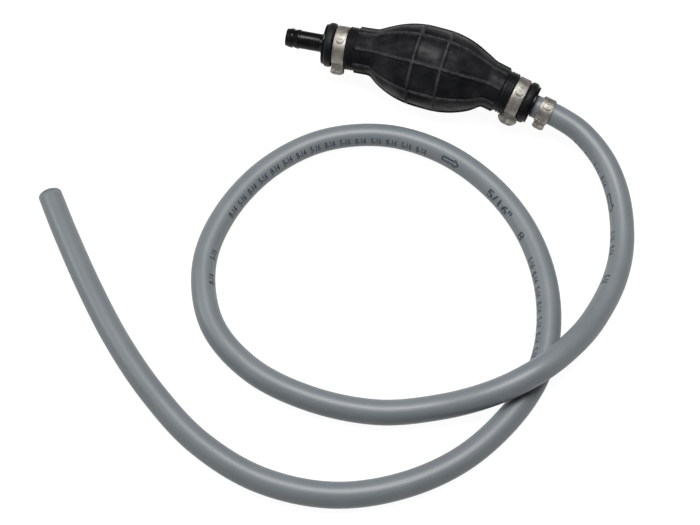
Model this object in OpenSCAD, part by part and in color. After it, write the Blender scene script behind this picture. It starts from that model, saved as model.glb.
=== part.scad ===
// Hand-squeezed bilge and priming pump: a ribbed rubber bulb with a one-way valve in each neck,
// a bare hose barb on the inlet and a long grey hose clamped on the outlet.
// Units are millimetres. +X runs along the bulb from inlet to outlet, +Z is up, and the pump
// lies on the plane z = 0.

/* [Bulb] */
// Radius of the smooth rubber belly
belly_r = 25.3; // [20:0.1:32]
// Half of the belly's length, from its middle to where a neck begins
belly_half = 38; // [30:0.5:48]
// Half of the straight band in the middle of the belly
band_half = 4; // [1:0.5:8]
// Radius of the two rubber necks
neck_r = 14; // [11:0.1:18]
// Thickness of the rubber wall
wall_t = 3.4; // [2:0.1:5]
// Number of lengthwise grip ribs
rib_count = 8; // [4:2:12]
// How far a rib stands out of the rubber
rib_h = 0.9; // [0.4:0.1:2]
// Width of a rib
rib_w = 2; // [1:0.1:4]
// Distance of each round rib from the middle of the belly
round_rib_x = 9.2; // [6:0.1:14]
// Turn of the lengthwise ribs about the bulb's axis, in degrees
rib_turn = -7.5; // [-20:0.5:20]

/* [Necks, measured outward from where the belly ends] */
// How much shorter the outlet neck is than the inlet neck, whose stations follow
outlet_short = 1.8; // [0:0.1:3]
// Where the lengthwise ribs stop on the inlet neck
inlet_rib_end = 11.5; // [8:0.5:13]
// Where the lengthwise ribs stop on the outlet neck
outlet_rib_end = 9; // [8:0.5:13]
// Where the clamp's seat begins
seat_start = 18; // [15:0.5:24]
// Where the clamp's seat ends and the rubber lip begins
seat_end = 26.4; // [22:0.2:32]
// Where the rubber stops against the fitting's flange
neck_end = 32; // [30:0.5:40]
// Radius of the rubber squeezed under a clamp
seat_r = 12; // [10:0.1:14]
// Radius of the rubber lip beyond the inlet clamp
inlet_lip_r = 14.2; // [12.5:0.1:16]
// Radius of the rubber lip beyond the outlet clamp
outlet_lip_r = 13.4; // [12.5:0.1:16]
// Sideways bend of the inlet neck, in degrees
inlet_yaw = 6.5; // [0:0.5:12]
// Sideways bend of the outlet neck, in degrees
outlet_yaw = 6.5; // [0:0.5:12]
// Droop of the outlet neck, in degrees
outlet_droop = 8; // [0:0.5:12]

/* [Fittings] */
// Radius of the plug that fills the rubber neck
plug_r = 9; // [8:0.1:10]
// Radius of the chamber that holds the valve
chamber_r = 7; // [6:0.1:7.5]
// Thickness of the flange
flange_t = 1.3; // [1:0.1:4]
// Radius of the inlet barb's plain shank
inlet_barb_r = 5.8; // [4:0.1:6.2]
// Radius of the outlet barb's plain shank, inside the hose
barb_r = 4.7; // [4:0.1:5]
// How far a barb's ridges stand out of its shank
ridge_h = 0.5; // [0.3:0.1:0.9]
// Radius of the waterway through a barb
waterway_r = 3; // [2:0.1:3.5]
// Length of the inlet barb beyond its flange
inlet_barb_l = 25.2; // [18:0.2:35]
// Length of the outlet barb inside the hose
outlet_barb_l = 27; // [18:0.2:35]

/* [Valves] */
// Radius of a valve disc
disc_r = 5.4; // [4.5:0.1:6]
// Radius of a rubber seal
seal_r = 5; // [4:0.1:5.5]
// Radius of the inlet valve's stem
stem_r = 1.2; // [0.8:0.1:1.6]
// Clearance around a sliding surface
slide_gap = 0.05; // [0.01:0.01:0.1]
// Radius of the spring wire
wire_r = 0.25; // [0.2:0.05:0.4]

/* [Clamps] */
// Width of the two bulb clamps
clamp_w = 7.8; // [6:0.1:10]
// Width of the hose clamp
hose_clamp_w = 8.4; // [6:0.1:10]
// Thickness of a clamp's band
band_t = 0.8; // [0.5:0.1:1.2]
// Thickness of the band's overlapping end
lap_t = 0.5; // [0.3:0.1:0.8]
// Turn of a clamp's ear from straight down, in degrees
ear_turn = 48; // [0:1:90]

/* [Hose] */
// Outside radius of the hose
hose_r = 7.2; // [6:0.1:9]
// Radius of the hose's bore
hose_bore_r = 4; // [3:0.1:5]

/* [Hidden] */
$fn = 64;

// The bulb rests on its lowest rib, so its axis is this high.
axis_z = belly_r + rib_h;
// The belly's side is an arc from the edge of the straight band down to the neck.
belly_drop = belly_r - neck_r;
belly_run = belly_half - band_half;
belly_arc_r = (belly_run * belly_run + belly_drop * belly_drop) / (2 * belly_drop);
// A ball of rubber fills the bend where a neck meets the belly.
knuckle_r = neck_r + 0.45;
// The necks' ribs start a little inside the belly, so that no gap opens outside the bend.
rib_overrun = 2.8;
neck_bore_r = neck_r - 4;

inlet_flange_end = neck_end + flange_t;
outlet_flange_end = inlet_flange_end - outlet_short;
plug_start = 8;
inlet_seat = 26;
outlet_stop = 27;
lip_t = 0.6;
seal_t = 1.4;
disc_t = 1.2;
cage_t = 2.5;
seat_ring_t = 3;
wing_l = 5;
crest_l = 1;

// The hose's route from the outlet barb to its open end. It comes down from the barb, climbs
// over its own second turn where they cross, and lies on the surface from there on.
hose_route = [
  [69.2, -3.6, 21.7], [87, -5.6, 19.3], [104, -11.5, 17], [122, -26, 14.2],
  [136, -47, 10.6], [145, -75, 8], [146.5, -103, 8.4], [141, -134, 12.2],
  [132, -159, 18.2], [118, -183, 22.4], [98, -202, 18.2], [72, -216.5, 10.5],
  [40, -229.5, 7.4], [2, -234, 7.2], [-36, -228, 7.2], [-68, -208, 7.2],
  [-87, -173, 7.2], [-88.5, -134, 7.2], [-76, -95, 7.2], [-51, -64, 7.2],
  [-15, -47, 7.2], [24, -47.5, 7.2], [61, -63, 7.2], [90.5, -89, 7.2],
  [111, -124, 7.2], [119.5, -163, 7.2], [114, -199, 7.2], [95, -237, 7.2],
  [67, -265, 7.2], [32, -283, 7.2], [-8, -287.5, 7.2], [-47, -278.5, 7.2],
  [-82, -260, 7.2], [-114, -237, 7.2], [-144, -210.5, 7.2], [-173, -182, 7.2],
  [-195, -159, 7.2]
];
hose_sides = 12;
rings_per_point = 2;
// The bore is stretched over the barb for this many rings.
stretched_rings = 5;

// ---- shared helpers -------------------------------------------------------------------------

// Turns a shape built up the Z axis so that it lies along X.
module along_x() {
  rotate([0, 90, 0]) children();
}

// Moves a shape onto the belly's own axis.
module at_belly() {
  translate([0, 0, axis_z]) children();
}

// Moves a shape into the outlet neck's own frame: X points outward along the neck.
module at_outlet() {
  translate([belly_half, 0, axis_z])
    rotate([0, 0, -outlet_yaw])
      rotate([0, outlet_droop, 0])
        children();
}

// The same for the inlet neck.
module at_inlet() {
  translate([-belly_half, 0, axis_z])
    rotate([0, 0, 180 + inlet_yaw])
      children();
}

// A plain round piece between two stations of a neck.
module rod(from, to, r) {
  translate([from, 0, 0])
    along_x()
      cylinder(r = r, h = to - from);
}

// A tapered round piece between two stations of a neck.
module taper(from, to, r_from, r_to) {
  translate([from, 0, 0])
    along_x()
      cylinder(r1 = r_from, r2 = r_to, h = to - from);
}

function unit(v) = v / norm(v);

// The direction of a path at its point i.
function heading(path, i) =
  unit(path[min(i + 1, len(path) - 1)] - path[max(i - 1, 0)]);

// A ring of points around point i of a path. The path never runs along ref.
function ring(path, i, r, sides, ref) =
  let (ahead = heading(path, i), side = unit(cross(ahead, ref)), up = cross(side, ahead))
  [for (k = [0 : sides - 1])
    path[i] + r * cos(360 * k / sides) * side + r * sin(360 * k / sides) * up];

// The wall between rings i and i + 1, which starts at point `first` of the list.
function wall(first, i, sides) =
  [for (k = [0 : sides - 1])
    let (a = first + i * sides + k, b = first + i * sides + (k + 1) % sides)
    each [[a, b, b + sides], [a, b + sides, a + sides]]];

function flipped(faces) =
  [for (f = faces) [for (k = [len(f) - 1 : -1 : 0]) f[k]]];

// A smooth curve through the middle two of four points.
function curve(a, b, c, d, t) =
  0.5 * (2 * b + (c - a) * t + (2 * a - 5 * b + 4 * c - d) * t * t
    + (3 * b - a - 3 * c + d) * t * t * t);

// The route with extra points put in between its own.
function smooth(route, steps) =
  let (
    last = len(route) - 1,
    before = 2 * route[0] - route[1],
    after = 2 * route[last] - route[last - 1]
  )
  concat(
    [for (i = [0 : last - 1])
      for (k = [0 : steps - 1])
        curve(
          i == 0 ? before : route[i - 1], route[i], route[i + 1],
          i == last - 1 ? after : route[i + 2], k / steps
        )],
    [route[last]]
  );

// ---- the rubber bulb ------------------------------------------------------------------------

// Half of the belly's section, grown outward by g: radius across, length up.
module belly_section(g) {
  intersection() {
    translate([0, -belly_half]) square([belly_r + g + 1, 2 * belly_half]);
    union() {
      translate([0, -band_half]) square([belly_r + g, 2 * band_half]);
      for (side = [-1, 1])
        translate([belly_r - belly_arc_r, side * band_half])
          circle(r = belly_arc_r + g, $fn = 180);
    }
  }
}

// One lengthwise rib of the belly, standing on top.
module belly_rib() {
  reach = belly_half + 0.2;
  rotate([0, -90, -90])
    linear_extrude(height = rib_w, center = true)
      difference() {
        union() {
          belly_section(rib_h);
          translate([0, -reach]) square([neck_r + rib_h, 2 * reach]);
        }
        belly_section(-wall_t / 2);
        translate([-1, -reach - 1]) square([neck_r - 0.9, 2 * reach + 2]);
      }
}

// A rib that runs round the belly.
module round_rib() {
  difference() {
    rod(round_rib_x - rib_w / 2, round_rib_x + rib_w / 2, belly_r + rib_h);
    rod(round_rib_x - rib_w, round_rib_x + rib_w, belly_r - 1.5);
  }
}

// The outside of a neck: ribbed root, fine grip rings, clamp seat and rounded lip.
module neck_outside(lip_r, rib_end, turn, short) {
  lip_half = (neck_end - seat_end) / 2;
  seat_at = seat_start - short;
  rod(0, rib_end + 0.6, neck_r);
  rod(rib_end, seat_at, neck_r - 0.6);
  for (x = [seat_at - 1.5 : -1.7 : rib_end + 1.2])
    rod(x, x + 0.9, neck_r - 0.1);
  rod(seat_at - 1, neck_end - short, seat_r);
  along_x()
    rotate_extrude()
      translate([0, seat_end - short + lip_half]) {
        translate([0, -lip_half]) square([lip_r - lip_half, 2 * lip_half]);
        translate([lip_r - lip_half, 0]) circle(r = lip_half);
      }
  for (k = [0 : rib_count - 1])
    rotate([360 * k / rib_count + turn, 0, 0])
      translate([-rib_overrun, -rib_w / 2, neck_r - 1.2])
        cube([rib_end + rib_overrun, rib_w, rib_h + 1.2]);
}

// The space inside a neck: the open root and the bore that grips the fitting's plug.
module neck_inside(short) {
  rod(0, plug_start + 2, neck_bore_r);
  rod(plug_start, neck_end - short + 1, plug_r);
}

module bulb() {
  color([0.16, 0.165, 0.18])
    difference() {
      union() {
        at_belly() {
          along_x() rotate_extrude() belly_section(0);
          round_rib();
          mirror([1, 0, 0]) round_rib();
          for (k = [0 : rib_count - 1])
            rotate([360 * k / rib_count + rib_turn, 0, 0]) belly_rib();
          for (side = [-1, 1])
            translate([side * belly_half, 0, 0]) sphere(r = knuckle_r);
        }
        at_inlet() neck_outside(inlet_lip_r, inlet_rib_end, -rib_turn, 0);
        at_outlet() neck_outside(outlet_lip_r, outlet_rib_end, rib_turn, outlet_short);
      }
      at_belly() {
        along_x() rotate_extrude() belly_section(-wall_t);
        for (side = [-1, 1])
          translate([side * belly_half, 0, 0]) sphere(r = neck_bore_r + 0.4);
      }
      at_inlet() neck_inside(0);
      at_outlet() neck_inside(outlet_short);
    }
}

// ---- the inlet fitting and its valve --------------------------------------------------------

// The outside of either fitting: gripping plug, flange, fillet and plain barb.
module fitting_outside(flange_end, barb_l, shank_r, lip_r) {
  rod(plug_start, flange_end, plug_r);
  for (x = [20, 24])
    taper(x, x + 1.6, plug_r, plug_r + 0.35);
  rod(flange_end - flange_t, flange_end, lip_r - 0.6);
  taper(flange_end, flange_end + 2.6, shank_r + 2, shank_r);
  rod(flange_end, flange_end + barb_l, shank_r);
}

// Two ridges that hold a hose: each has a short level crest, then slopes down towards the tip.
module ridges(tip, shank_r) {
  for (x = [tip - 9, tip - 4.6]) {
    rod(x, x + crest_l, shank_r + ridge_h);
    taper(x + crest_l, x + 4.6, shank_r + ridge_h, shank_r - 0.2);
  }
}

module inlet_fitting() {
  tip = inlet_flange_end + inlet_barb_l;
  color([0.09, 0.09, 0.1])
    at_inlet()
      difference() {
        union() {
          difference() {
            fitting_outside(inlet_flange_end, inlet_barb_l, inlet_barb_r, inlet_lip_r);
            rod(plug_start - 1, inlet_seat, chamber_r);
          }
          rod(inlet_seat - lip_t, inlet_seat + 0.5, waterway_r + 0.9);
          ridges(tip, inlet_barb_r);
        }
        rod(inlet_seat - lip_t - 1, tip + 1, waterway_r);
      }
}

// The web that holds the inlet spring and guides the valve's stem.
module inlet_spring_cage() {
  start = plug_start + 1;
  color([0.8, 0.8, 0.78])
    at_inlet()
      difference() {
        union() {
          difference() {
            rod(start, start + cage_t, chamber_r);
            rod(start - 1, start + cage_t + 1, chamber_r - 1.2);
          }
          rod(start, start + cage_t, 2.5);
          for (k = [0 : 2])
            rotate([120 * k, 0, 0])
              translate([start, -0.7, 1.5])
                cube([cage_t, 1.4, chamber_r - 2.2]);
        }
        rod(start - 1, start + cage_t + 1, stem_r + slide_gap);
      }
}

// The inlet valve's disc and stem, shut against the seat.
module inlet_poppet() {
  front = inlet_seat - lip_t - seal_t;
  color([0.86, 0.86, 0.84])
    at_inlet() {
      rod(front - disc_t, front, disc_r);
      rod(plug_start, front, stem_r);
    }
}

module inlet_poppet_seal() {
  front = inlet_seat - lip_t;
  color([0.55, 0.2, 0.12])
    at_inlet()
      rod(front - seal_t, front, seal_r);
}

module inlet_spring() {
  color([0.75, 0.76, 0.78])
    at_inlet()
      spring(plug_start + 1 + cage_t, inlet_seat - lip_t - seal_t - disc_t, 1.95, 6);
}

// ---- the outlet fitting and its valve -------------------------------------------------------

module outlet_fitting() {
  tip = outlet_flange_end + outlet_barb_l;
  color([0.09, 0.09, 0.1])
    at_outlet()
      difference() {
        union() {
          fitting_outside(outlet_flange_end, outlet_barb_l, barb_r, outlet_lip_r);
          ridges(tip, barb_r);
        }
        rod(plug_start - 1, outlet_stop, chamber_r);
        rod(outlet_stop - 1, tip + 1, waterway_r);
      }
}

// The ring pressed into the outlet chamber that the valve shuts against.
module outlet_valve_seat() {
  start = plug_start + 1;
  color([0.8, 0.8, 0.78])
    at_outlet()
      difference() {
        union() {
          rod(start, start + seat_ring_t, chamber_r);
          rod(start, start + seat_ring_t + lip_t, waterway_r + 1);
        }
        rod(start - 1, start + seat_ring_t + lip_t + 1, waterway_r + 0.2);
      }
}

// The outlet valve's disc, with four wings that slide in the chamber.
module outlet_poppet() {
  start = plug_start + 1 + seat_ring_t + lip_t + seal_t;
  color([0.86, 0.86, 0.84])
    at_outlet() {
      rod(start, start + disc_t, disc_r);
      intersection() {
        rod(start, start + disc_t + wing_l, chamber_r - slide_gap);
        for (k = [0 : 3])
          rotate([90 * k, 0, 0])
            translate([start, -0.6, 4.2])
              cube([disc_t + wing_l, 1.2, chamber_r]);
      }
    }
}

module outlet_poppet_seal() {
  start = plug_start + 1 + seat_ring_t + lip_t;
  color([0.55, 0.2, 0.12])
    at_outlet()
      rod(start, start + seal_t, seal_r);
}

module outlet_spring() {
  start = plug_start + 1 + seat_ring_t + lip_t + seal_t + disc_t;
  color([0.75, 0.76, 0.78])
    at_outlet()
      spring(start, outlet_stop, 3.4, 5);
}

// A coiled wire between two stations of a neck.
module spring(from, to, r, turns) {
  steps = 12;
  sides = 6;
  count = turns * steps;
  rise = to - from - 2 * wire_r;
  path = [for (i = [0 : count])
    [from + wire_r + rise * i / count, r * cos(360 * i / steps), r * sin(360 * i / steps)]];
  points = [for (i = [0 : count]) each ring(path, i, wire_r, sides, [1, 0, 0])];
  walls = [for (i = [0 : count - 1]) each wall(0, i, sides)];
  start_cap = [for (k = [sides - 1 : -1 : 0]) k];
  end_cap = [for (k = [0 : sides - 1]) count * sides + k];
  polyhedron(points = points, faces = flipped(concat(walls, [start_cap, end_cap])));
}

// ---- clamps ---------------------------------------------------------------------------------

// An ear clamp's crimped ear in section, drawn g inside its outline. X points away from the band.
module ear_section(base, ear_h, half, g) {
  knob = 1.7;
  top = base + ear_h - knob;
  difference() {
    union() {
      polygon([
        [base - 0.4, g - half + 0.9], [top, g - half],
        [top, half - g], [base - 0.4, half - 0.9 - g]
      ]);
      for (side = [-1, 1])
        translate([top, side * (half - knob)]) circle(r = knob - g);
      translate([top - 0.1, knob - half]) square([knob + 0.1 - g, 2 * (half - knob)]);
    }
    translate([top + knob + 0.8, 0]) circle(r = 1.7 + g);
  }
}

// A stainless ear clamp around Z with its ear towards +X.
module clamp(r, width, ear_h, ear_half, ear_l) {
  outer = r + band_t;
  difference() {
    cylinder(r = outer, h = width, center = true);
    cylinder(r = r, h = width + 1, center = true);
  }
  // the outer end of the band, lapped over the inner one and locked by two hooks
  rotate([0, 0, 100])
    rotate_extrude(angle = 105)
      translate([outer - 0.1, 0.8 - width / 2])
        square([lap_t + 0.1, width - 1.6]);
  for (turn = [114, 126])
    rotate([0, 0, turn])
      translate([outer, -0.7, -1.3])
        cube([lap_t + 0.5, 1.4, 2.6]);
  intersection() {
    linear_extrude(height = ear_l, center = true)
      difference() {
        ear_section(outer, ear_h, ear_half, 0);
        ear_section(outer + 0.4, ear_h - 0.4, ear_half, band_t);
      }
    translate([outer - 1, 0, 0])
      rotate([90, 0, 0])
        cylinder(r = max(ear_l / 2, ear_h + 1.2), h = 4 * ear_half, center = true);
  }
}

module inlet_bulb_clamp() {
  color([0.78, 0.77, 0.74])
    at_inlet()
      translate([(seat_start + seat_end) / 2, 0, 0])
        along_x()
          rotate([0, 0, ear_turn]) clamp(seat_r, clamp_w, 5, 3.8, clamp_w);
}

module outlet_bulb_clamp() {
  color([0.78, 0.77, 0.74])
    at_outlet()
      translate([(seat_start + seat_end) / 2 - outlet_short, 0, 0])
        along_x()
          mirror([0, 1, 0])
            rotate([0, 0, ear_turn]) clamp(seat_r, clamp_w, 5.4, 3.8, 12);
}

module hose_clamp() {
  color([0.72, 0.72, 0.7])
    at_outlet()
      translate([outlet_flange_end + 8.3, 0, 0])
        along_x()
          mirror([0, 1, 0])
            rotate([0, 0, ear_turn])
              clamp(hose_r + 0.1, hose_clamp_w, 4, 3.2, hose_clamp_w - 1);
}

// ---- the hose -------------------------------------------------------------------------------

module hose() {
  path = smooth(hose_route, rings_per_point);
  last = len(path) - 1;
  inner = len(path) * hose_sides;
  function bore(i) = i < stretched_rings ? barb_r : hose_bore_r;
  points = concat(
    [for (i = [0 : last]) each ring(path, i, hose_r, hose_sides, [0, 0, 1])],
    [for (i = [0 : last]) each ring(path, i, bore(i), hose_sides, [0, 0, 1])]
  );
  outside = [for (i = [0 : last - 1]) each wall(0, i, hose_sides)];
  inside = [for (i = [0 : last - 1]) each wall(inner, i, hose_sides)];
  start_end = [for (k = [0 : hose_sides - 1])
    let (n = (k + 1) % hose_sides)
    [n, k, inner + k, inner + n]];
  open_end = [for (f = start_end) [for (k = f) k + last * hose_sides]];
  color([0.56, 0.58, 0.6])
    polyhedron(
      points = points,
      faces = flipped(concat(outside, flipped(inside), start_end, flipped(open_end)))
    );
}

bulb();
inlet_fitting();
inlet_spring_cage();
inlet_poppet();
inlet_poppet_seal();
inlet_spring();
outlet_fitting();
outlet_valve_seat();
outlet_poppet();
outlet_poppet_seal();
outlet_spring();
inlet_bulb_clamp();
outlet_bulb_clamp();
hose_clamp();
hose();
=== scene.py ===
import math

import bmesh
import bpy
from mathutils import Matrix, Quaternion, Vector, noise

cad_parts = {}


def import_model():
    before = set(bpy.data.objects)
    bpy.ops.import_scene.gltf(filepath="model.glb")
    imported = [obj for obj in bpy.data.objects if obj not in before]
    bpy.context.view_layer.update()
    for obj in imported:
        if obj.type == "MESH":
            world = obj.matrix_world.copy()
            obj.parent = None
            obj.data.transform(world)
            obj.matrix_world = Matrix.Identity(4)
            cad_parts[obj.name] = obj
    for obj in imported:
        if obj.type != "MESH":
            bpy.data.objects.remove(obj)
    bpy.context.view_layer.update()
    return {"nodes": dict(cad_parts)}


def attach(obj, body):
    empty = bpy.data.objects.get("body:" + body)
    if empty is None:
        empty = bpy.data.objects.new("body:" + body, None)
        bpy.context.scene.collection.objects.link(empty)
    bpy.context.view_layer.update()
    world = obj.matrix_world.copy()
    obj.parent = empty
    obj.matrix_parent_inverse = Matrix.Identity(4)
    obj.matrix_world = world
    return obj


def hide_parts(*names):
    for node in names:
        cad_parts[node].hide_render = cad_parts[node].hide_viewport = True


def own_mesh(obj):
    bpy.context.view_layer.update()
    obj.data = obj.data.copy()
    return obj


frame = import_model()

# ---- sizes, in metres, as the CAD has them -----------------------------------------------------

MM = 0.001

BELLY_R = 25.3 * MM
BELLY_HALF = 38 * MM
BAND_HALF = 4 * MM
NECK_R = 14 * MM
RIB_H = 0.9 * MM
RIB_COUNT = 8
ROUND_RIB_X = 9.2 * MM
INLET_RIB_END = 11.5 * MM
OUTLET_RIB_END = 9 * MM

SEAT_START = 18 * MM
SEAT_END = 26.4 * MM
NECK_END = 32 * MM
SEAT_R = 12 * MM
PLUG_R = 9 * MM
INLET_LIP_R = 14.2 * MM
OUTLET_LIP_R = 13.4 * MM

FLANGE_T = 1.3 * MM
OUTLET_SHORT = 1.8 * MM
INLET_FLANGE_END = NECK_END + FLANGE_T
OUTLET_FLANGE_END = INLET_FLANGE_END - OUTLET_SHORT
INLET_BARB_L = 25.2 * MM
OUTLET_BARB_L = 27 * MM
INLET_BARB_R = 5.8 * MM
OUTLET_BARB_R = 4.7 * MM
RIDGE_H = 0.5 * MM
CREST_L = 1 * MM
WATERWAY_R = 3 * MM

BAND_T = 0.8 * MM
CLAMP_W = 7.8 * MM
HOSE_CLAMP_W = 8.4 * MM
EAR_TURN = math.radians(48)

HOSE_R = 7.2 * MM
HOSE_BORE_R = 4 * MM

AXIS_Z = BELLY_R + RIB_H

# the hose's route from the outlet barb to its open end, as the CAD has it
HOSE_ROUTE = [
    Vector(point) * MM
    for point in (
        (69.2, -3.6, 21.7), (87, -5.6, 19.3), (104, -11.5, 17), (122, -26, 14.2),
        (136, -47, 10.6), (145, -75, 8), (146.5, -103, 8.4), (141, -134, 12.2),
        (132, -159, 18.2), (118, -183, 22.4), (98, -202, 18.2), (72, -216.5, 10.5),
        (40, -229.5, 7.4), (2, -234, 7.2), (-36, -228, 7.2), (-68, -208, 7.2),
        (-87, -173, 7.2), (-88.5, -134, 7.2), (-76, -95, 7.2), (-51, -64, 7.2),
        (-15, -47, 7.2), (24, -47.5, 7.2), (61, -63, 7.2), (90.5, -89, 7.2),
        (111, -124, 7.2), (119.5, -163, 7.2), (114, -199, 7.2), (95, -237, 7.2),
        (67, -265, 7.2), (32, -283, 7.2), (-8, -287.5, 7.2), (-47, -278.5, 7.2),
        (-82, -260, 7.2), (-114, -237, 7.2), (-144, -210.5, 7.2), (-173, -182, 7.2),
        (-195, -159, 7.2),
    )
]

# Each neck leans on its own: a frame with its origin where the belly ends and X pointing out.
INLET_YAW = math.radians(6.5)
OUTLET_YAW = math.radians(-6.5)
OUTLET_DROOP = math.radians(8)
INLET = (
    Matrix.Translation((-BELLY_HALF, 0, AXIS_Z))
    @ Matrix.Rotation(math.pi + INLET_YAW, 4, "Z")
)
OUTLET = (
    Matrix.Translation((BELLY_HALF, 0, AXIS_Z))
    @ Matrix.Rotation(OUTLET_YAW, 4, "Z")
    @ Matrix.Rotation(OUTLET_DROOP, 4, "Y")
)


# ---- the camera --------------------------------------------------------------------------------

def camera():
    data = bpy.data.cameras.new("camera")
    data.sensor_width = 36
    data.lens = 61.7
    data.clip_start, data.clip_end = 0.05, 20
    eye = bpy.data.objects.new("camera", data)
    bpy.context.scene.collection.objects.link(eye)
    eye.location = (0.1056, -0.4881, 0.625)
    look_at = Vector((-0.0068, -0.1390, 0))
    level = (look_at - eye.location).to_track_quat("-Z", "Y")
    roll = Quaternion((0, 0, 1), math.radians(1.35))
    eye.rotation_mode = "QUATERNION"
    eye.rotation_quaternion = level @ roll
    bpy.context.scene.camera = eye


camera()


# ---- mesh helpers ------------------------------------------------------------------------------

TURNED_STEPS = 96


def to_object(name, bm, material, smooth=True):
    """Turns a bmesh into an object at the origin, with its place in its mesh."""
    mesh = bpy.data.meshes.new(name)
    bm.to_mesh(mesh)
    bm.free()
    obj = bpy.data.objects.new(name, mesh)
    bpy.context.scene.collection.objects.link(obj)
    mesh.materials.append(material)
    for face in mesh.polygons:
        face.use_smooth = smooth
    return obj


def stands_for(obj, node):
    """Hides a CAD node of the pump's fixed body and shows this piece in its place."""
    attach(obj, "pump")
    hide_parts(node)


def place(bm, matrix):
    bmesh.ops.transform(bm, matrix=matrix, verts=bm.verts)


def soften(obj, width):
    """A live bevel on an object's sharp edges."""
    bevel = obj.modifiers.new("soft_edges", "BEVEL")
    bevel.width = width
    bevel.segments = 2
    bevel.limit_method = "ANGLE"
    bevel.angle_limit = math.radians(35)
    bevel.harden_normals = False


def smoothstep(low, high, value):
    t = min(1.0, max(0.0, (value - low) / (high - low)))
    return t * t * (3 - 2 * t)


def extruded(bm, edges):
    """Extrudes a run of edges once: the new run and its vertices."""
    made = bmesh.ops.extrude_edge_only(bm, edges=edges)["geom"]
    verts = [g for g in made if isinstance(g, bmesh.types.BMVert)]
    edges = [g for g in made if isinstance(g, bmesh.types.BMEdge)]
    return [edge for edge in edges if set(verts).issuperset(edge.verts)], verts


def swept(frames, radius, sides, capped=False):
    """A round skin drawn ring by ring through frames of (along, point, right, up)."""
    bm = bmesh.new()
    along = bm.verts.layers.float.new("along")
    around = bm.verts.layers.float.new("around")
    ring = bmesh.ops.create_circle(bm, segments=sides, radius=radius)["verts"]
    for k, vert in enumerate(sorted(ring, key=lambda v: math.atan2(v.co.y, v.co.x) % math.tau)):
        vert[around] = k / sides
    first = edges = bm.edges[:]
    for i, (reached, point, right, up) in enumerate(frames):
        if i:
            edges, ring = extruded(bm, edges)
        for vert in ring:
            turn = vert[around] * math.tau
            vert[along] = reached
            vert.co = point + (right * math.cos(turn) + up * math.sin(turn)) * radius
    if capped:
        for rim in (first, edges):
            bmesh.ops.contextual_create(bm, geom=rim)
    bmesh.ops.recalc_face_normals(bm, faces=bm.faces)
    return bm


def turned(profile, steps):
    """Spins a closed profile of (along X, radius) points round the X axis into a solid."""
    bm = bmesh.new()
    points = [bm.verts.new((x, 0, r)) for x, r in profile]
    edges = [bm.edges.new(pair) for pair in zip(points, points[1:] + points[:1])]
    bmesh.ops.spin(
        bm, geom=points + edges, cent=(0, 0, 0), axis=(1, 0, 0), angle=math.tau,
        steps=steps, use_merge=True, use_normal_flip=False,
    )
    bmesh.ops.remove_doubles(bm, verts=bm.verts, dist=1e-6)
    bmesh.ops.recalc_face_normals(bm, faces=bm.faces)
    return bm


def rounded(corners, radius, steps):
    """Rounds each corner of an open (x, r) outline with a small arc. The two ends stay."""
    out = [corners[0]]
    for before, at, after in zip(corners, corners[1:], corners[2:]):
        p, a, b = Vector(at), Vector(before), Vector(after)
        reach_in = min(radius, (a - p).length * 0.45)
        reach_out = min(radius, (b - p).length * 0.45)
        start = p + (a - p).normalized() * reach_in
        end = p + (b - p).normalized() * reach_out
        for i in range(steps + 1):
            t = i / steps
            point = start * (1 - t) ** 2 + p * 2 * t * (1 - t) + end * t * t
            out.append((point.x, point.y))
    out.append(corners[-1])
    return out


# ---- materials ---------------------------------------------------------------------------------

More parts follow.
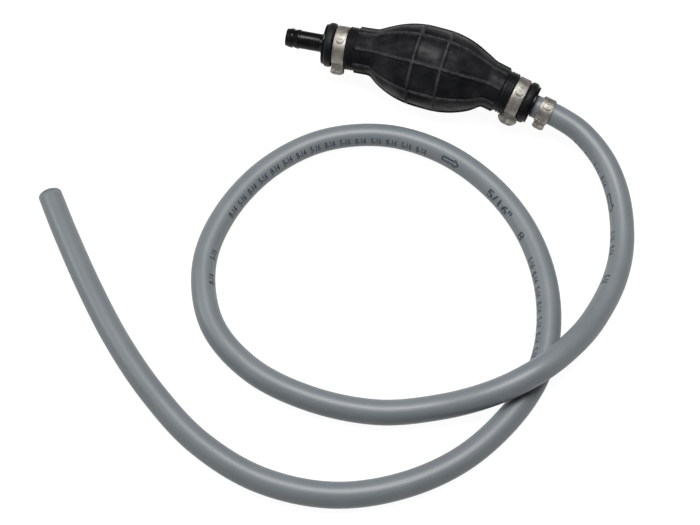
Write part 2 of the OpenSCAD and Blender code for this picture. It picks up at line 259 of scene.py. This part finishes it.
class Shader:
    """A material's node tree, with short calls for the nodes that this object's finishes need."""

    def __init__(self, name, base, roughness, metallic=0.0, specular=0.5):
        self.material = bpy.data.materials.new(name)
        self.material.use_nodes = True
        self.tree = self.material.node_tree
        self.surface = self.tree.nodes["Principled BSDF"]
        self.surface.inputs["Base Color"].default_value = (*base, 1)
        self.surface.inputs["Roughness"].default_value = roughness
        self.surface.inputs["Metallic"].default_value = metallic
        self.surface.inputs["Specular IOR Level"].default_value = specular
        self.coords = self.node("ShaderNodeTexCoord").outputs["Object"]
        self.height = None

    def node(self, kind, **values):
        made = self.tree.nodes.new(kind)
        for key, value in values.items():
            setattr(made, key, value)
        return made

    def link(self, a, b):
        self.tree.links.new(a, b)

    def scaled(self, scale, turn=(0, 0, 0)):
        mapping = self.node("ShaderNodeMapping")
        mapping.inputs["Scale"].default_value = scale
        mapping.inputs["Rotation"].default_value = turn
        self.link(self.coords, mapping.inputs["Vector"])
        return mapping.outputs["Vector"]

    def noise(self, scale, detail=4, rough=0.55, vector=None):
        made = self.node("ShaderNodeTexNoise")
        made.inputs["Scale"].default_value = scale
        made.inputs["Detail"].default_value = detail
        made.inputs["Roughness"].default_value = rough
        self.link(vector or self.coords, made.inputs["Vector"])
        return made.outputs["Fac"]

    def remap(self, value, low, high, to_low, to_high):
        made = self.node("ShaderNodeMapRange", interpolation_type="SMOOTHSTEP")
        for key, number in (
            ("From Min", low), ("From Max", high), ("To Min", to_low), ("To Max", to_high)
        ):
            made.inputs[key].default_value = number
        self.link(value, made.inputs["Value"])
        return made.outputs["Result"]

    def math(self, operation, a, b):
        made = self.node("ShaderNodeMath", operation=operation)
        for slot, value in enumerate((a, b)):
            if isinstance(value, (int, float)):
                made.inputs[slot].default_value = value
            else:
                self.link(value, made.inputs[slot])
        return made.outputs["Value"]

    def mix(self, factor, low, high):
        made = self.node("ShaderNodeMix", data_type="RGBA")
        self.link(factor, made.inputs["Factor"])
        for key, value in (("A", low), ("B", high)):
            socket = [s for s in made.inputs if s.name == key and s.type == "RGBA"][0]
            if isinstance(value, tuple):
                socket.default_value = (*value, 1)
            else:
                self.link(value, socket)
        return [s for s in made.outputs if s.type == "RGBA"][0]

    def colour(self, output):
        self.link(output, self.surface.inputs["Base Color"])

    def roughness(self, output):
        self.link(output, self.surface.inputs["Roughness"])

    def bump(self, output, distance, strength):
        made = self.node("ShaderNodeBump")
        made.inputs["Strength"].default_value = strength
        made.inputs["Distance"].default_value = distance
        self.link(output, made.inputs["Height"])
        if self.height is not None:
            self.link(self.height, made.inputs["Normal"])
        self.height = made.outputs["Normal"]
        self.link(self.height, self.surface.inputs["Normal"])


def rubber_material():
    """Black moulded rubber, paler where hands have rubbed the ribs."""
    s = Shader("bulb_rubber", (0.008, 0.008, 0.009), 0.42, specular=0.2)
    rib = s.node("ShaderNodeAttribute", attribute_name="rib").outputs["Fac"]
    cloud = s.noise(55, 4, 0.6)
    bloom = s.remap(cloud, 0.35, 0.7, 0, 1)
    skin = s.mix(bloom, (0.0035, 0.0038, 0.0044), (0.0085, 0.0088, 0.0095))
    scuff = s.math("MULTIPLY", rib, s.remap(s.noise(420, 3), 0.35, 0.65, 0.35, 1.0))
    s.colour(s.mix(scuff, skin, (0.03, 0.0305, 0.0315)))
    s.roughness(s.math("ADD", s.remap(cloud, 0.3, 0.7, 0.4, 0.54), s.math("MULTIPLY", rib, 0.16)))
    sheen = s.remap(s.noise(95, 4, 0.62, s.scaled((0.7, 1, 1))), 0.36, 0.66, 0.03, 0.15)
    s.link(sheen, s.surface.inputs["Specular IOR Level"])
    s.bump(s.noise(70, 2, 0.4), 0.0006, 0.55)
    s.bump(s.noise(230, 3, 0.5), 0.00025, 0.6)
    s.bump(s.noise(2600, 3, 0.6), 0.00005, 0.35)
    return s.material


def plastic_material():
    """Glossy black moulded plastic with fine handling scratches."""
    s = Shader("black_plastic", (0.004, 0.004, 0.005), 0.2, specular=0.13)
    scratch = s.noise(900, 3, 0.5, s.scaled((0.15, 1, 1), (0, 0.3, 0.4)))
    s.roughness(s.remap(scratch, 0.35, 0.7, 0.14, 0.3))
    cloud = s.remap(s.noise(160), 0.4, 0.7, 0, 1)
    s.colour(s.mix(cloud, (0.003, 0.003, 0.0035), (0.006, 0.006, 0.0065)))
    s.bump(s.noise(220, 3), 0.0002, 0.3)
    return s.material


def steel_material():
    """Stainless band, rolled along its length and dull with handling, its colour darkened overall
    as painted shade.
    """
    s = Shader("stainless_band", (0.55, 0.53, 0.5), 0.3, metallic=1.0)
    rolled = s.noise(60, 5, 0.6, s.scaled((60, 3, 3)))
    tarnish_and_painted_shade = s.remap(s.noise(240, 4, 0.6), 0.35, 0.68, 0, 1)
    # Both tones are painted shade: far darker than bare stainless, standing in for the dim
    # surroundings the band reflects. The noise only blends them as random tarnish.
    s.colour(s.mix(tarnish_and_painted_shade, (0.32, 0.304, 0.276), (0.2, 0.188, 0.168)))
    s.roughness(s.remap(rolled, 0.3, 0.7, 0.5, 0.64))
    s.bump(rolled, 0.00008, 0.4)
    s.bump(s.noise(700, 2), 0.0001, 0.25)
    return s.material


def hose_material():
    """Soft grey vinyl with a satin skin and faint marks from the die it was drawn through."""
    s = Shader("grey_vinyl", (0.118, 0.131, 0.139), 0.42, specular=0.4)
    uv = s.node("ShaderNodeUVMap", uv_map="lay").outputs["UV"]
    drawn = s.node("ShaderNodeMapping")
    drawn.inputs["Scale"].default_value = (3, 90, 1)
    s.link(uv, drawn.inputs["Vector"])
    streak = s.noise(1, 3, 0.5, drawn.outputs["Vector"])
    cloud = s.noise(38, 4, 0.55)
    pale = s.mix(s.remap(cloud, 0.3, 0.72, 0, 1), (0.108, 0.122, 0.131), (0.127, 0.139, 0.146))
    s.colour(s.mix(s.remap(streak, 0.35, 0.7, 0, 0.5), pale, (0.099, 0.112, 0.123)))
    s.roughness(s.remap(streak, 0.3, 0.7, 0.38, 0.46))
    s.bump(streak, 0.00006, 0.5)
    s.bump(s.noise(1500, 3, 0.6), 0.00004, 0.4)
    return s.material


def ink_material():
    """Worn blue-grey ink of the hose's size marks."""
    s = Shader("hose_ink", (0.02, 0.032, 0.05), 0.5)
    worn = s.remap(s.noise(900, 3, 0.6), 0.5, 0.72, 0, 1)
    s.colour(s.mix(worn, (0.008, 0.016, 0.03), (0.052, 0.064, 0.082)))
    s.roughness(s.remap(worn, 0, 1, 0.42, 0.5))
    return s.material


def inner_material(name, low, high, roughness, metallic=0.0):
    """The plain mottled finish of the valve parts inside."""
    s = Shader(name, low, roughness, metallic)
    cloud = s.noise(700, 4)
    s.colour(s.mix(s.remap(cloud, 0.35, 0.65, 0, 1), low, high))
    s.roughness(s.remap(cloud, 0.3, 0.7, roughness - 0.06, roughness + 0.08))
    s.bump(s.noise(1400, 3), 0.00005, 0.4)
    return s.material


def floor_material():
    s = Shader("paper_floor", (0.11, 0.11, 0.11), 0.9, specular=0.0)
    cloud = s.remap(s.noise(6), 0.3, 0.7, 0, 1)
    s.colour(s.mix(cloud, (0.105, 0.105, 0.105), (0.115, 0.115, 0.115)))
    s.surface.inputs["Emission Color"].default_value = (1, 1, 1, 1)
    s.surface.inputs["Emission Strength"].default_value = 0.95
    return s.material


# ---- the hose ----------------------------------------------------------------------------------

RINGS_PER_POINT = 10
HOSE_SIDES = 40


def curve_point(a, b, c, d, t):
    """A smooth curve through b and c, shaped by their neighbours, as the CAD has it."""
    return 0.5 * (
        2 * b + (c - a) * t + (2 * a - 5 * b + 4 * c - d) * t * t
        + (3 * b - a - 3 * c + d) * t * t * t
    )


def hose_line():
    route = [2 * HOSE_ROUTE[0] - HOSE_ROUTE[1], *HOSE_ROUTE, 2 * HOSE_ROUTE[-1] - HOSE_ROUTE[-2]]
    line = []
    for a, b, c, d in zip(route, route[1:], route[2:], route[3:]):
        for step in range(RINGS_PER_POINT):
            line.append(curve_point(a, b, c, d, step / RINGS_PER_POINT))
    line.append(HOSE_ROUTE[-1])
    return line


def hose_frames(line):
    """At each point: how far along the hose it is, its heading, its right-hand side and its up."""
    frames, along = [], 0.0
    for i, point in enumerate(line):
        ahead = (line[min(i + 1, len(line) - 1)] - line[max(i - 1, 0)]).normalized()
        right = ahead.cross(Vector((0, 0, 1))).normalized()
        frames.append((along, point, right, right.cross(ahead)))
        if i + 1 < len(line):
            along += (line[i + 1] - point).length
    return frames


LINE = hose_line()
FRAMES = hose_frames(LINE)


def hose_spot(along, turn, radius):
    """The place on the hose at a distance along it and an angle up from its right-hand side."""
    last = len(FRAMES) - 2
    low, high = 0, last
    while low < high:
        middle = (low + high + 1) // 2
        if FRAMES[middle][0] <= along:
            low = middle
        else:
            high = middle - 1
    (s0, p0, r0, u0), (s1, p1, r1, u1) = FRAMES[low], FRAMES[low + 1]
    t = (along - s0) / (s1 - s0)
    point, right, up = p0.lerp(p1, t), r0.lerp(r1, t).normalized(), u0.lerp(u1, t).normalized()
    return point + (right * math.cos(turn) + up * math.sin(turn)) * radius


def hose(material):
    """One skin swept along the line, then given its wall."""
    bm = swept(FRAMES, HOSE_R, HOSE_SIDES)
    along, around = bm.verts.layers.float["along"], bm.verts.layers.float["around"]
    lay = bm.loops.layers.uv.new("lay")
    for face in bm.faces:
        wraps = max(v[around] for v in face.verts) - min(v[around] for v in face.verts) > 0.5
        for loop in face.loops:
            turn = loop.vert[around]
            if wraps and turn < 0.5:
                turn += 1
            loop[lay].uv = (loop.vert[along], turn)
    obj = to_object("grey_hose", bm, material)
    wall = obj.modifiers.new("wall", "SOLIDIFY")
    wall.thickness = HOSE_R - HOSE_BORE_R
    wall.offset = -1
    stands_for(obj, "hose")


hose(hose_material())


# ---- size marks printed on the hose ------------------------------------------------------------

# Where the printed line runs: metres along the hose, and degrees up from its right-hand side.
PRINT_LINE = [
    (0.03, -14), (0.052, -12), (0.067, 6), (0.08, 22), (0.112, 22), (0.13, 28), (0.15, 45),
    (0.46, 40), (0.5, 41), (0.535, 34), (0.57, 33), (0.6, 25), (0.625, 18), (0.668, 18),
    (0.682, 34), (0.72, 32), (0.76, 31), (0.79, 26), (0.86, 34),
]
# Where each mark starts along the hose: the worn ones that are left one by one, then two runs.
WORN_MARKS = [0.036, 0.047, 0.058, 0.069, 0.11, 0.121, 0.145, 0.462, 0.48]
MARK_RUNS = ((0.514, 15), (0.776, 7))
MARK_PITCH = 0.0106
ARROWS = (0.083, 0.6815)
MARK_LIFT = 0.035 * MM


def print_turn(along):
    for (a, turn_a), (b, turn_b) in zip(PRINT_LINE, PRINT_LINE[1:]):
        if along <= b:
            return math.radians(turn_a + (turn_b - turn_a) * (along - a) / (b - a))
    return math.radians(PRINT_LINE[-1][1])


def flat_digits(text, height, narrow):
    """Plain digits as a flat mesh, standing on y = 0 and starting at x = 0."""
    data = bpy.data.curves.new("digits", "FONT")
    data.body = text
    data.size = height / 0.7
    data.offset = 0.15 * MM
    held = bpy.data.objects.new("digits", data)
    bpy.context.scene.collection.objects.link(held)
    seen = held.evaluated_get(bpy.context.evaluated_depsgraph_get())
    flat = bpy.data.meshes.new_from_object(seen)
    bm = bmesh.new()
    bm.from_mesh(flat)
    bmesh.ops.scale(bm, vec=(narrow, 1, 1), verts=bm.verts)
    bpy.data.objects.remove(held)
    bpy.data.curves.remove(data)
    bpy.data.meshes.remove(flat)
    return bm


def flat_arrow(length, height):
    """A plain outlined arrow: two bars and an open head."""
    bm = bmesh.new()
    bar, head = height * 0.16, height * 0.55
    strips = [
        ((0, height * 0.28), (length - head, height * 0.28)),
        ((0, height * 0.72), (length - head, height * 0.72)),
        ((length - head * 1.3, 0), (length, height * 0.5)),
        ((length, height * 0.5), (length - head * 1.3, height)),
        ((0, height * 0.28), (0, height * 0.72)),
    ]
    for start, end in strips:
        a, b = Vector((*start, 0)), Vector((*end, 0))
        side = Vector((a.y - b.y, b.x - a.x, 0)).normalized() * bar / 2
        bm.faces.new([bm.verts.new(p) for p in (a - side, b - side, b + side, a + side)])
    return bm


def print_on_hose(target, flat, start, height):
    """Cuts a flat mark into small strips and lays it on the hose from a distance along it."""
    width = max(v.co.x for v in flat.verts)
    for normal, reach, step in (((1, 0, 0), width, 1.5 * MM), ((0, 1, 0), height, 0.5 * MM)):
        for k in range(1, int(reach / step) + 1):
            bmesh.ops.bisect_plane(
                flat, geom=flat.verts[:] + flat.edges[:] + flat.faces[:],
                plane_co=Vector(normal) * step * k, plane_no=normal,
            )
    for vert in flat.verts:
        along = start + vert.co.x
        turn = print_turn(start + width / 2) + (vert.co.y - height / 2) / HOSE_R
        vert.co = hose_spot(along, turn, HOSE_R + MARK_LIFT)
    mesh = bpy.data.meshes.new("mark")
    flat.to_mesh(mesh)
    flat.free()
    target.from_mesh(mesh)
    bpy.data.meshes.remove(mesh)


def hose_marks(material):
    """Small size digits, two flow arrows and two larger sizes, all on the print line."""
    bm = bmesh.new()
    small, large = 4.3 * MM, 5.4 * MM
    starts = list(WORN_MARKS)
    for first, count in MARK_RUNS:
        starts += [first + MARK_PITCH * k for k in range(count)]
    for k, start in enumerate(starts):
        text = "8-14" if k % 2 else "5-16"
        print_on_hose(bm, flat_digits(text, small, 0.66), start, small)
    for start in ARROWS:
        print_on_hose(bm, flat_arrow(12.5 * MM, large), start, large)
    print_on_hose(bm, flat_digits('5/16"', large, 1.5), 0.72, large)
    print_on_hose(bm, flat_digits("8", large, 1.3), 0.757, large)
    obj = to_object("hose_size_marks", bm, material, smooth=False)
    ink = obj.modifiers.new("ink", "SOLIDIFY")
    ink.thickness = 2 * MARK_LIFT
    ink.offset = -1
    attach(obj, "pump")


hose_marks(ink_material())


# ---- the rubber bulb ---------------------------------------------------------------------------

SECTOR = math.tau / RIB_COUNT
COLUMNS = 26
RIB_TURN = math.radians(-7.5)
RIB_COLUMNS = [0, 0.35 * MM, 0.65 * MM, 0.85 * MM, 1.05 * MM, 1.3 * MM, 1.7 * MM]
WALL_T = 3.4 * MM
LIP_STEPS = 12
LIP_FULLNESS = 0.72  # under 1, the lip's section is squarer than a half round
RUN = BELLY_HALF - BAND_HALF
DROP = BELLY_R - NECK_R
BELLY_ARC_R = (RUN * RUN + DROP * DROP) / (2 * DROP)


def belly(x):
    """Radius of the belly's smooth skin at a distance from its middle."""
    past = max(0.0, abs(x) - BAND_HALF)
    return BELLY_R - BELLY_ARC_R + math.sqrt(max(0.0, BELLY_ARC_R ** 2 - past ** 2))


def skin(x):
    """The belly running into the neck, with the corner between them rounded."""
    corner = 1.1 * MM
    gap = belly(x) - NECK_R
    return NECK_R + 0.5 * (gap + math.sqrt(gap * gap + corner * corner))


def rib_rise(off):
    """How much of its height a rib has at a distance from its middle line."""
    return 1 - smoothstep(0.68 * MM, 1.22 * MM, off)


def stations(start, end, step):
    count = max(1, round((end - start) / step))
    return [start + (end - start) * i / count for i in range(count)]


def half_profile(lip_r, rib_end, short):
    """The skin from the belly's middle outward, in along-the-axis and radius, straightened."""
    over_rib = (-1.3, -1.05, -0.85, -0.65, -0.3, 0, 0.3, 0.65, 0.85, 1.05)
    xs = stations(0, 7.5 * MM, 2.5 * MM)
    xs += [ROUND_RIB_X + e * MM for e in over_rib]
    xs += stations(ROUND_RIB_X + 1.3 * MM, BELLY_HALF - 4 * MM, 1.5 * MM)
    xs += stations(BELLY_HALF - 4 * MM, BELLY_HALF + 5 * MM, 0.6 * MM)
    rib_stop = BELLY_HALF + rib_end
    xs += stations(BELLY_HALF + 5 * MM, rib_stop - 0.4 * MM, 1.2 * MM)
    xs += [rib_stop + e * MM for e in (-0.3, -0.1, 0.1, 0.3)]
    out = [(x, skin(x)) for x in xs]
    groove, ring = NECK_R - 0.6 * MM, NECK_R - 0.1 * MM
    root = rib_stop + 0.6 * MM
    corners = [(root - 0.3 * MM, NECK_R), (root, NECK_R), (root, groove)]
    seat_at, lip_at, stop = (
        BELLY_HALF + station - short for station in (SEAT_START, SEAT_END, NECK_END)
    )
    pitch, ring_w = 1.7, 0.9 * MM
    rings = int((seat_at - rib_stop - 2.7 * MM) / (pitch * MM)) + 1
    for k in reversed(range(rings)):
        x = seat_at - (1.5 + pitch * k) * MM
        corners += [(x, groove), (x, ring), (x + ring_w, ring), (x + ring_w, groove)]
    lip = (stop - lip_at) / 2
    middle = lip_at + lip
    corners += [(seat_at, groove), (seat_at, SEAT_R), (lip_at, SEAT_R), (lip_at, lip_r - lip)]
    out += rounded(corners, 0.25 * MM, 2)
    for i in range(1, LIP_STEPS):
        turn = math.pi * i / LIP_STEPS
        across = math.copysign(abs(math.cos(turn)) ** LIP_FULLNESS, math.cos(turn))
        up = math.sin(turn) ** LIP_FULLNESS
        out.append((middle - lip * across, lip_r - lip + lip * up))
    out += [(stop, lip_r - lip), (stop, PLUG_R + 1 * MM)]
    return out


def inner_profile(short):
    """The wall's inside from one neck's end to the middle, straightened."""
    out = [(BELLY_HALF + NECK_END - short, PLUG_R), (BELLY_HALF + 8 * MM, PLUG_R)]
    out += [(BELLY_HALF + 7.9 * MM, NECK_R - 4 * MM)]
    for x in (40, 37, 33, 28, 22, 15, 8):
        out.append((x * MM, max(NECK_R - 3.9 * MM, skin(x * MM) - WALL_T)))
    return out


def bent(point):
    """Leans the necks: each turns about the belly's end, smoothly over a short stretch."""
    side = 1 if point.x > 0 else -1
    share = smoothstep(30 * MM, 46 * MM, abs(point.x))
    pivot = Vector((side * BELLY_HALF, 0, 0))
    yaw, droop = (OUTLET_YAW, OUTLET_DROOP) if side > 0 else (INLET_YAW, 0)
    lean = Matrix.Rotation(yaw * share, 3, "Z") @ Matrix.Rotation(droop * share, 3, "Y")
    return pivot + lean @ (point - pivot) + Vector((0, 0, AXIS_Z))


def bulb(material):
    """Spun skin and wall, whose columns gather at the ribs before the ribs are raised."""
    outward = half_profile(OUTLET_LIP_R, OUTLET_RIB_END, OUTLET_SHORT)
    backward = half_profile(INLET_LIP_R, INLET_RIB_END, 0)
    profile = [(-x, r) for x, r in reversed(backward)][:-1] + outward
    profile += inner_profile(OUTLET_SHORT) + [(-x, r) for x, r in reversed(inner_profile(0))]
    bm = turned(profile, RIB_COUNT * COLUMNS)
    rib = bm.verts.layers.float.new("rib")
    half = COLUMNS // 2
    for vert in bm.verts:
        x, radius = vert.co.x, math.hypot(vert.co.y, vert.co.z)
        column = round(math.atan2(-vert.co.y, vert.co.z) / SECTOR * COLUMNS)
        sector = math.floor((column + half) / COLUMNS)
        step = column - sector * COLUMNS
        near = len(RIB_COLUMNS) - 1
        if abs(step) <= near:
            off = RIB_COLUMNS[abs(step)] / radius
        else:
            start = RIB_COLUMNS[near] / radius
            off = start + (SECTOR / 2 - start) * (abs(step) - near) / (half - near)
        turn = sector * SECTOR + math.copysign(off, step) + RIB_TURN
        outside = radius > max(skin(x) - WALL_T / 2, 11 * MM) and abs(x) < BELLY_HALF + SEAT_START
        if outside:
            rib_end = OUTLET_RIB_END if x > 0 else INLET_RIB_END
            ends = smoothstep(rib_end + 0.2 * MM, rib_end - 0.2 * MM, abs(x) - BELLY_HALF)
            along = rib_rise(off * radius) * ends
            across = rib_rise(abs(abs(x) - ROUND_RIB_X))
            rise = max(along, across)
            panel = (1 - rise) * smoothstep(BELLY_HALF, BELLY_HALF - 12 * MM, abs(x))
            spot = Vector((x * 55, math.sin(turn) * 1.4, math.cos(turn) * 1.4))
            vert[rib] = rise
            radius += RIB_H * rise + panel * 0.22 * MM * (noise.noise(spot) - 0.3)
        vert.co = bent(Vector((x, -radius * math.sin(turn), radius * math.cos(turn))))
    bmesh.ops.recalc_face_normals(bm, faces=bm.faces)
    obj = to_object("rubber_bulb", bm, material)
    stands_for(obj, "bulb")


bulb(rubber_material())


# ---- the two moulded fittings ------------------------------------------------------------------

def barb_outline(flange_end, barb_l, lip_r, shank_r, front):
    """Half of a fitting's outside, from the plug's front to the rim of the waterway."""
    tip, behind = flange_end + barb_l, flange_end - FLANGE_T
    flange_r = lip_r - 1.3 * MM
    corners = [(front, PLUG_R), (behind, PLUG_R), (behind, flange_r), (flange_end, flange_r)]
    corners += [(flange_end, shank_r + 2 * MM), (flange_end + 0.9 * MM, shank_r + 0.8 * MM)]
    corners += [(flange_end + 2.6 * MM, shank_r)]
    ridge_r, low_r = shank_r + RIDGE_H, shank_r - 0.2 * MM
    for x in (tip - 9 * MM, tip - 4.6 * MM):
        corners += [(x, shank_r), (x, ridge_r), (x + CREST_L, ridge_r)]
    corners.insert(-3, (tip - 4.7 * MM, low_r))
    return corners + [(tip - 0.3 * MM, low_r), (tip, low_r), (tip, WATERWAY_R)]


def fitting(name, node, matrix, flange_end, barb_l, lip_r, shank_r, chamber_end, seat_lip):
    """A moulded fitting turned whole: plug, flange, fillet, barb, waterway and valve chamber."""
    front = 8 * MM
    corners = barb_outline(flange_end, barb_l, lip_r, shank_r, front)
    chamber_r = 7 * MM
    if seat_lip:
        corners += [(chamber_end - 0.6 * MM, WATERWAY_R), (chamber_end - 0.6 * MM, 3.9 * MM)]
        corners += [(chamber_end, 3.9 * MM)]
    else:
        corners += [(chamber_end, WATERWAY_R)]
    corners += [(chamber_end, chamber_r), (front, chamber_r)]
    bm = turned(rounded(corners, 0.3 * MM, 3), TURNED_STEPS)
    place(bm, matrix)
    bmesh.ops.recalc_face_normals(bm, faces=bm.faces)
    stands_for(to_object(name, bm, PLASTIC), node)


PLASTIC = plastic_material()
fitting(
    "inlet_barb", "inlet_fitting", INLET, INLET_FLANGE_END, INLET_BARB_L, INLET_LIP_R,
    INLET_BARB_R, 26 * MM, True,
)
fitting(
    "outlet_barb", "outlet_fitting", OUTLET, OUTLET_FLANGE_END, OUTLET_BARB_L, OUTLET_LIP_R,
    OUTLET_BARB_R, 27 * MM, False,
)


# ---- clamps ------------------------------------------------------------------------------------

LAP_T = 0.5 * MM


def around(turn, radius, x):
    """A point on a clamp: a turn from the ear's own direction, a radius and a place along X."""
    return Vector((x, -radius * math.sin(turn), -radius * math.cos(turn)))


def band_piece(bm, inner, outer, width, first, last, steps, nose=0.0):
    """A strip of band spun round the clamp. Its first end may narrow to a tongue."""
    half = width / 2
    section = [
        bm.verts.new(around(first, radius, x))
        for radius, x in ((inner, -half), (outer, -half), (outer, half), (inner, half))
    ]
    before = set(bm.verts) - set(section)
    bmesh.ops.spin(
        bm, geom=[bm.faces.new(section)], cent=(0, 0, 0), axis=(1, 0, 0), angle=first - last,
        steps=steps,
    )
    for vert in set(bm.verts) - before:
        turn = math.atan2(-vert.co.y, -vert.co.z)
        share = abs((turn - first + math.pi) % math.tau - math.pi) / abs(last - first)
        if share < nose:
            vert.co.x *= math.sqrt(1 - (1 - share / nose) ** 2 * 0.86)


def ear(bm, outer, height, half, length):
    """The crimped ear: a strip folded up off the band, dented on both legs by the pincers."""
    knob = 1.5 * MM
    crown = outer + height - knob

    def on_band(v):
        return math.sqrt(outer * outer - v * v)

    half_line = [
        (half + 1.7 * MM, on_band(half + 1.7 * MM) + 0.1 * MM),
        (half + 0.7 * MM, on_band(half + 0.7 * MM) + 0.15 * MM),
        (half + 0.2 * MM, on_band(half) + 0.45 * MM),
        (half, on_band(half) + 1.2 * MM),
        (half - 0.05 * MM, (on_band(half) + crown) / 2 + 0.6 * MM),
    ]
    for i in range(6):
        turn = math.radians(16 * i)
        half_line.append((half - knob + knob * math.cos(turn), crown + knob * math.sin(turn)))
    half_line.append((half * 0.25, crown + knob * 0.45))
    outline = half_line + [(-v, z) for v, z in reversed(half_line)]
    dome = max(length / 2, height + 1.2 * MM)
    foot = on_band(half)
    points = [bm.verts.new((-length / 2, v, -z)) for v, z in outline]
    edges = [bm.edges.new(pair) for pair in zip(points, points[1:])]
    steps = 18
    for _ in range(steps):
        edges, verts = extruded(bm, edges)
        bmesh.ops.translate(bm, vec=(length / steps, 0, 0), verts=verts)
    for vert in bm.verts:
        x, v, z = vert.co.x, vert.co.y, -vert.co.z
        ceiling = outer - 1 * MM + dome * math.sqrt(max(0.0, 1 - (x / dome) ** 2))
        dent = 0.8 * MM * math.exp(-((x / (1.3 * MM)) ** 2))
        leg = smoothstep(foot + 0.5 * MM, foot + 1.6 * MM, z)
        inward = math.copysign(dent * leg * min(1.0, abs(v) / half), v)
        vert.co = (x, v - inward, -min(z, max(on_band(v) + 0.1 * MM, ceiling)))


def clamp(name, node, matrix, station, r, width, ear_h, ear_half, ear_l, turn, material):
    """One ear clamp: band, lapped end with its tongue, hooks and crimped ear."""
    outer = r + BAND_T
    side = 1 if turn > 0 else -1
    bm = turned(
        rounded([
            (-width / 2 + 0.2 * MM, r), (-width / 2, r), (-width / 2, outer), (width / 2, outer),
            (width / 2, r), (-width / 2 + 0.2 * MM, r),
        ], 0.16 * MM, 2)[:-1], TURNED_STEPS,
    )
    lap_start, lap_end = math.radians(100), math.radians(205)
    band_piece(
        bm, outer - 0.05 * MM, outer + LAP_T, width - 1.1 * MM, side * lap_start, side * lap_end,
        40, nose=0.22,
    )
    for at in (112, 124):
        band_piece(
            bm, outer + LAP_T - 0.1 * MM, outer + LAP_T + 0.45 * MM, 2.2 * MM,
            side * math.radians(at), side * math.radians(at + 4.5), 3,
        )
    place(bm, Matrix.Rotation(-turn, 4, "X"))
    place(bm, matrix @ Matrix.Translation((station, 0, 0)))
    bmesh.ops.recalc_face_normals(bm, faces=bm.faces)
    band = to_object(name + "_band", bm, material)
    soften(band, 0.12 * MM)
    stands_for(band, node)
    bm = bmesh.new()
    ear(bm, outer, ear_h, ear_half, ear_l)
    place(bm, Matrix.Rotation(-turn, 4, "X"))
    place(bm, matrix @ Matrix.Translation((station, 0, 0)))
    bmesh.ops.recalc_face_normals(bm, faces=bm.faces)
    fold = to_object(name + "_ear", bm, material)
    rounding = fold.modifiers.new("rounding", "SUBSURF")
    rounding.levels = rounding.render_levels = 1
    wall = fold.modifiers.new("sheet", "SOLIDIFY")
    wall.thickness = 0.7 * MM
    wall.offset = 0
    stands_for(fold, node)


STEEL = steel_material()
BULB_CLAMP_AT = (SEAT_START + SEAT_END) / 2
clamp(
    "inlet_clamp", "inlet_bulb_clamp", INLET, BULB_CLAMP_AT, SEAT_R, CLAMP_W,
    5 * MM, 3.8 * MM, CLAMP_W, -EAR_TURN, STEEL,
)
clamp(
    "outlet_clamp", "outlet_bulb_clamp", OUTLET, BULB_CLAMP_AT - OUTLET_SHORT, SEAT_R, CLAMP_W,
    5.4 * MM, 3.8 * MM, 12 * MM, EAR_TURN, STEEL,
)
clamp(
    "hose_end_clamp", "hose_clamp", OUTLET, OUTLET_FLANGE_END + 8.3 * MM, HOSE_R + 0.1 * MM,
    HOSE_CLAMP_W, 4 * MM, 3.2 * MM, HOSE_CLAMP_W - 1 * MM, EAR_TURN, STEEL,
)


# ---- the valves inside -------------------------------------------------------------------------

def spring(name, node, matrix, start, end, radius, turns, material):
    """A fine coil of wire wound between a start and an end along the valve's axis."""
    wire, steps = 0.25 * MM, 24
    count = turns * steps
    rise = end - start - 2 * wire
    pitch = rise / turns
    frames = []
    for i in range(count + 1):
        out = Vector((0, math.cos(math.tau * i / steps), math.sin(math.tau * i / steps)))
        ahead = Vector((pitch / math.tau, -out.z * radius, out.y * radius)).normalized()
        centre = Vector((start + wire + rise * i / count, 0, 0)) + out * radius
        frames.append((0.0, centre, out, ahead.cross(out)))
    bm = swept(frames, wire, 8, capped=True)
    place(bm, matrix)
    obj = to_object(name, bm, material)
    stands_for(obj, node)
    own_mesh(obj)


WIRE = inner_material("spring_wire", (0.62, 0.62, 0.63), (0.45, 0.45, 0.46), 0.28, 1.0)
spring(
    "inlet_coil", "inlet_spring", INLET, 11.5 * MM, 22.8 * MM, 1.95 * MM, 6,
    WIRE,
)
spring(
    "outlet_coil", "outlet_spring", OUTLET, 15.2 * MM, 27 * MM, 3.4 * MM, 5,
    WIRE,
)

ACETAL = inner_material("white_acetal", (0.72, 0.72, 0.69), (0.82, 0.82, 0.79), 0.38)
SEAL = inner_material("red_seal_rubber", (0.2, 0.035, 0.02), (0.3, 0.06, 0.035), 0.62)
for node, finish in (
    ("inlet_spring_cage", ACETAL), ("inlet_poppet", ACETAL), ("inlet_poppet_seal", SEAL),
    ("outlet_valve_seat", ACETAL), ("outlet_poppet", ACETAL), ("outlet_poppet_seal", SEAL),
):
    for held in frame["nodes"][node].material_slots:
        held.material = finish


# ---- floor, lights and world -------------------------------------------------------------------

def floor():
    bm = bmesh.new()
    bmesh.ops.create_grid(bm, x_segments=8, y_segments=8, size=3)
    obj = to_object("studio_floor", bm, floor_material())


def softbox(name, position, aim, width, height, power):
    data = bpy.data.lights.new(name, "AREA")
    data.shape = "RECTANGLE"
    data.size, data.size_y = width, height
    data.energy = power
    lamp = bpy.data.objects.new(name, data)
    bpy.context.scene.collection.objects.link(lamp)
    lamp.location = position
    lamp.rotation_euler = (Vector(aim) - Vector(position)).to_track_quat("-Z", "Y").to_euler()


def world(strength):
    made = bpy.data.worlds.new("studio")
    made.use_nodes = True
    made.node_tree.nodes["Background"].inputs["Color"].default_value = (1, 1, 1, 1)
    made.node_tree.nodes["Background"].inputs["Strength"].default_value = strength
    bpy.context.scene.world = made


floor()
softbox("top_softbox", (0, -0.04, 1), (0, -0.14, 0), 0.6, 0.5, 16)
softbox("left_softbox", (-1.2, -0.25, 0.85), (-0.02, -0.08, 0), 0.5, 0.7, 7)
world(0.15)
bpy.context.scene.view_settings.view_transform = "Standard"
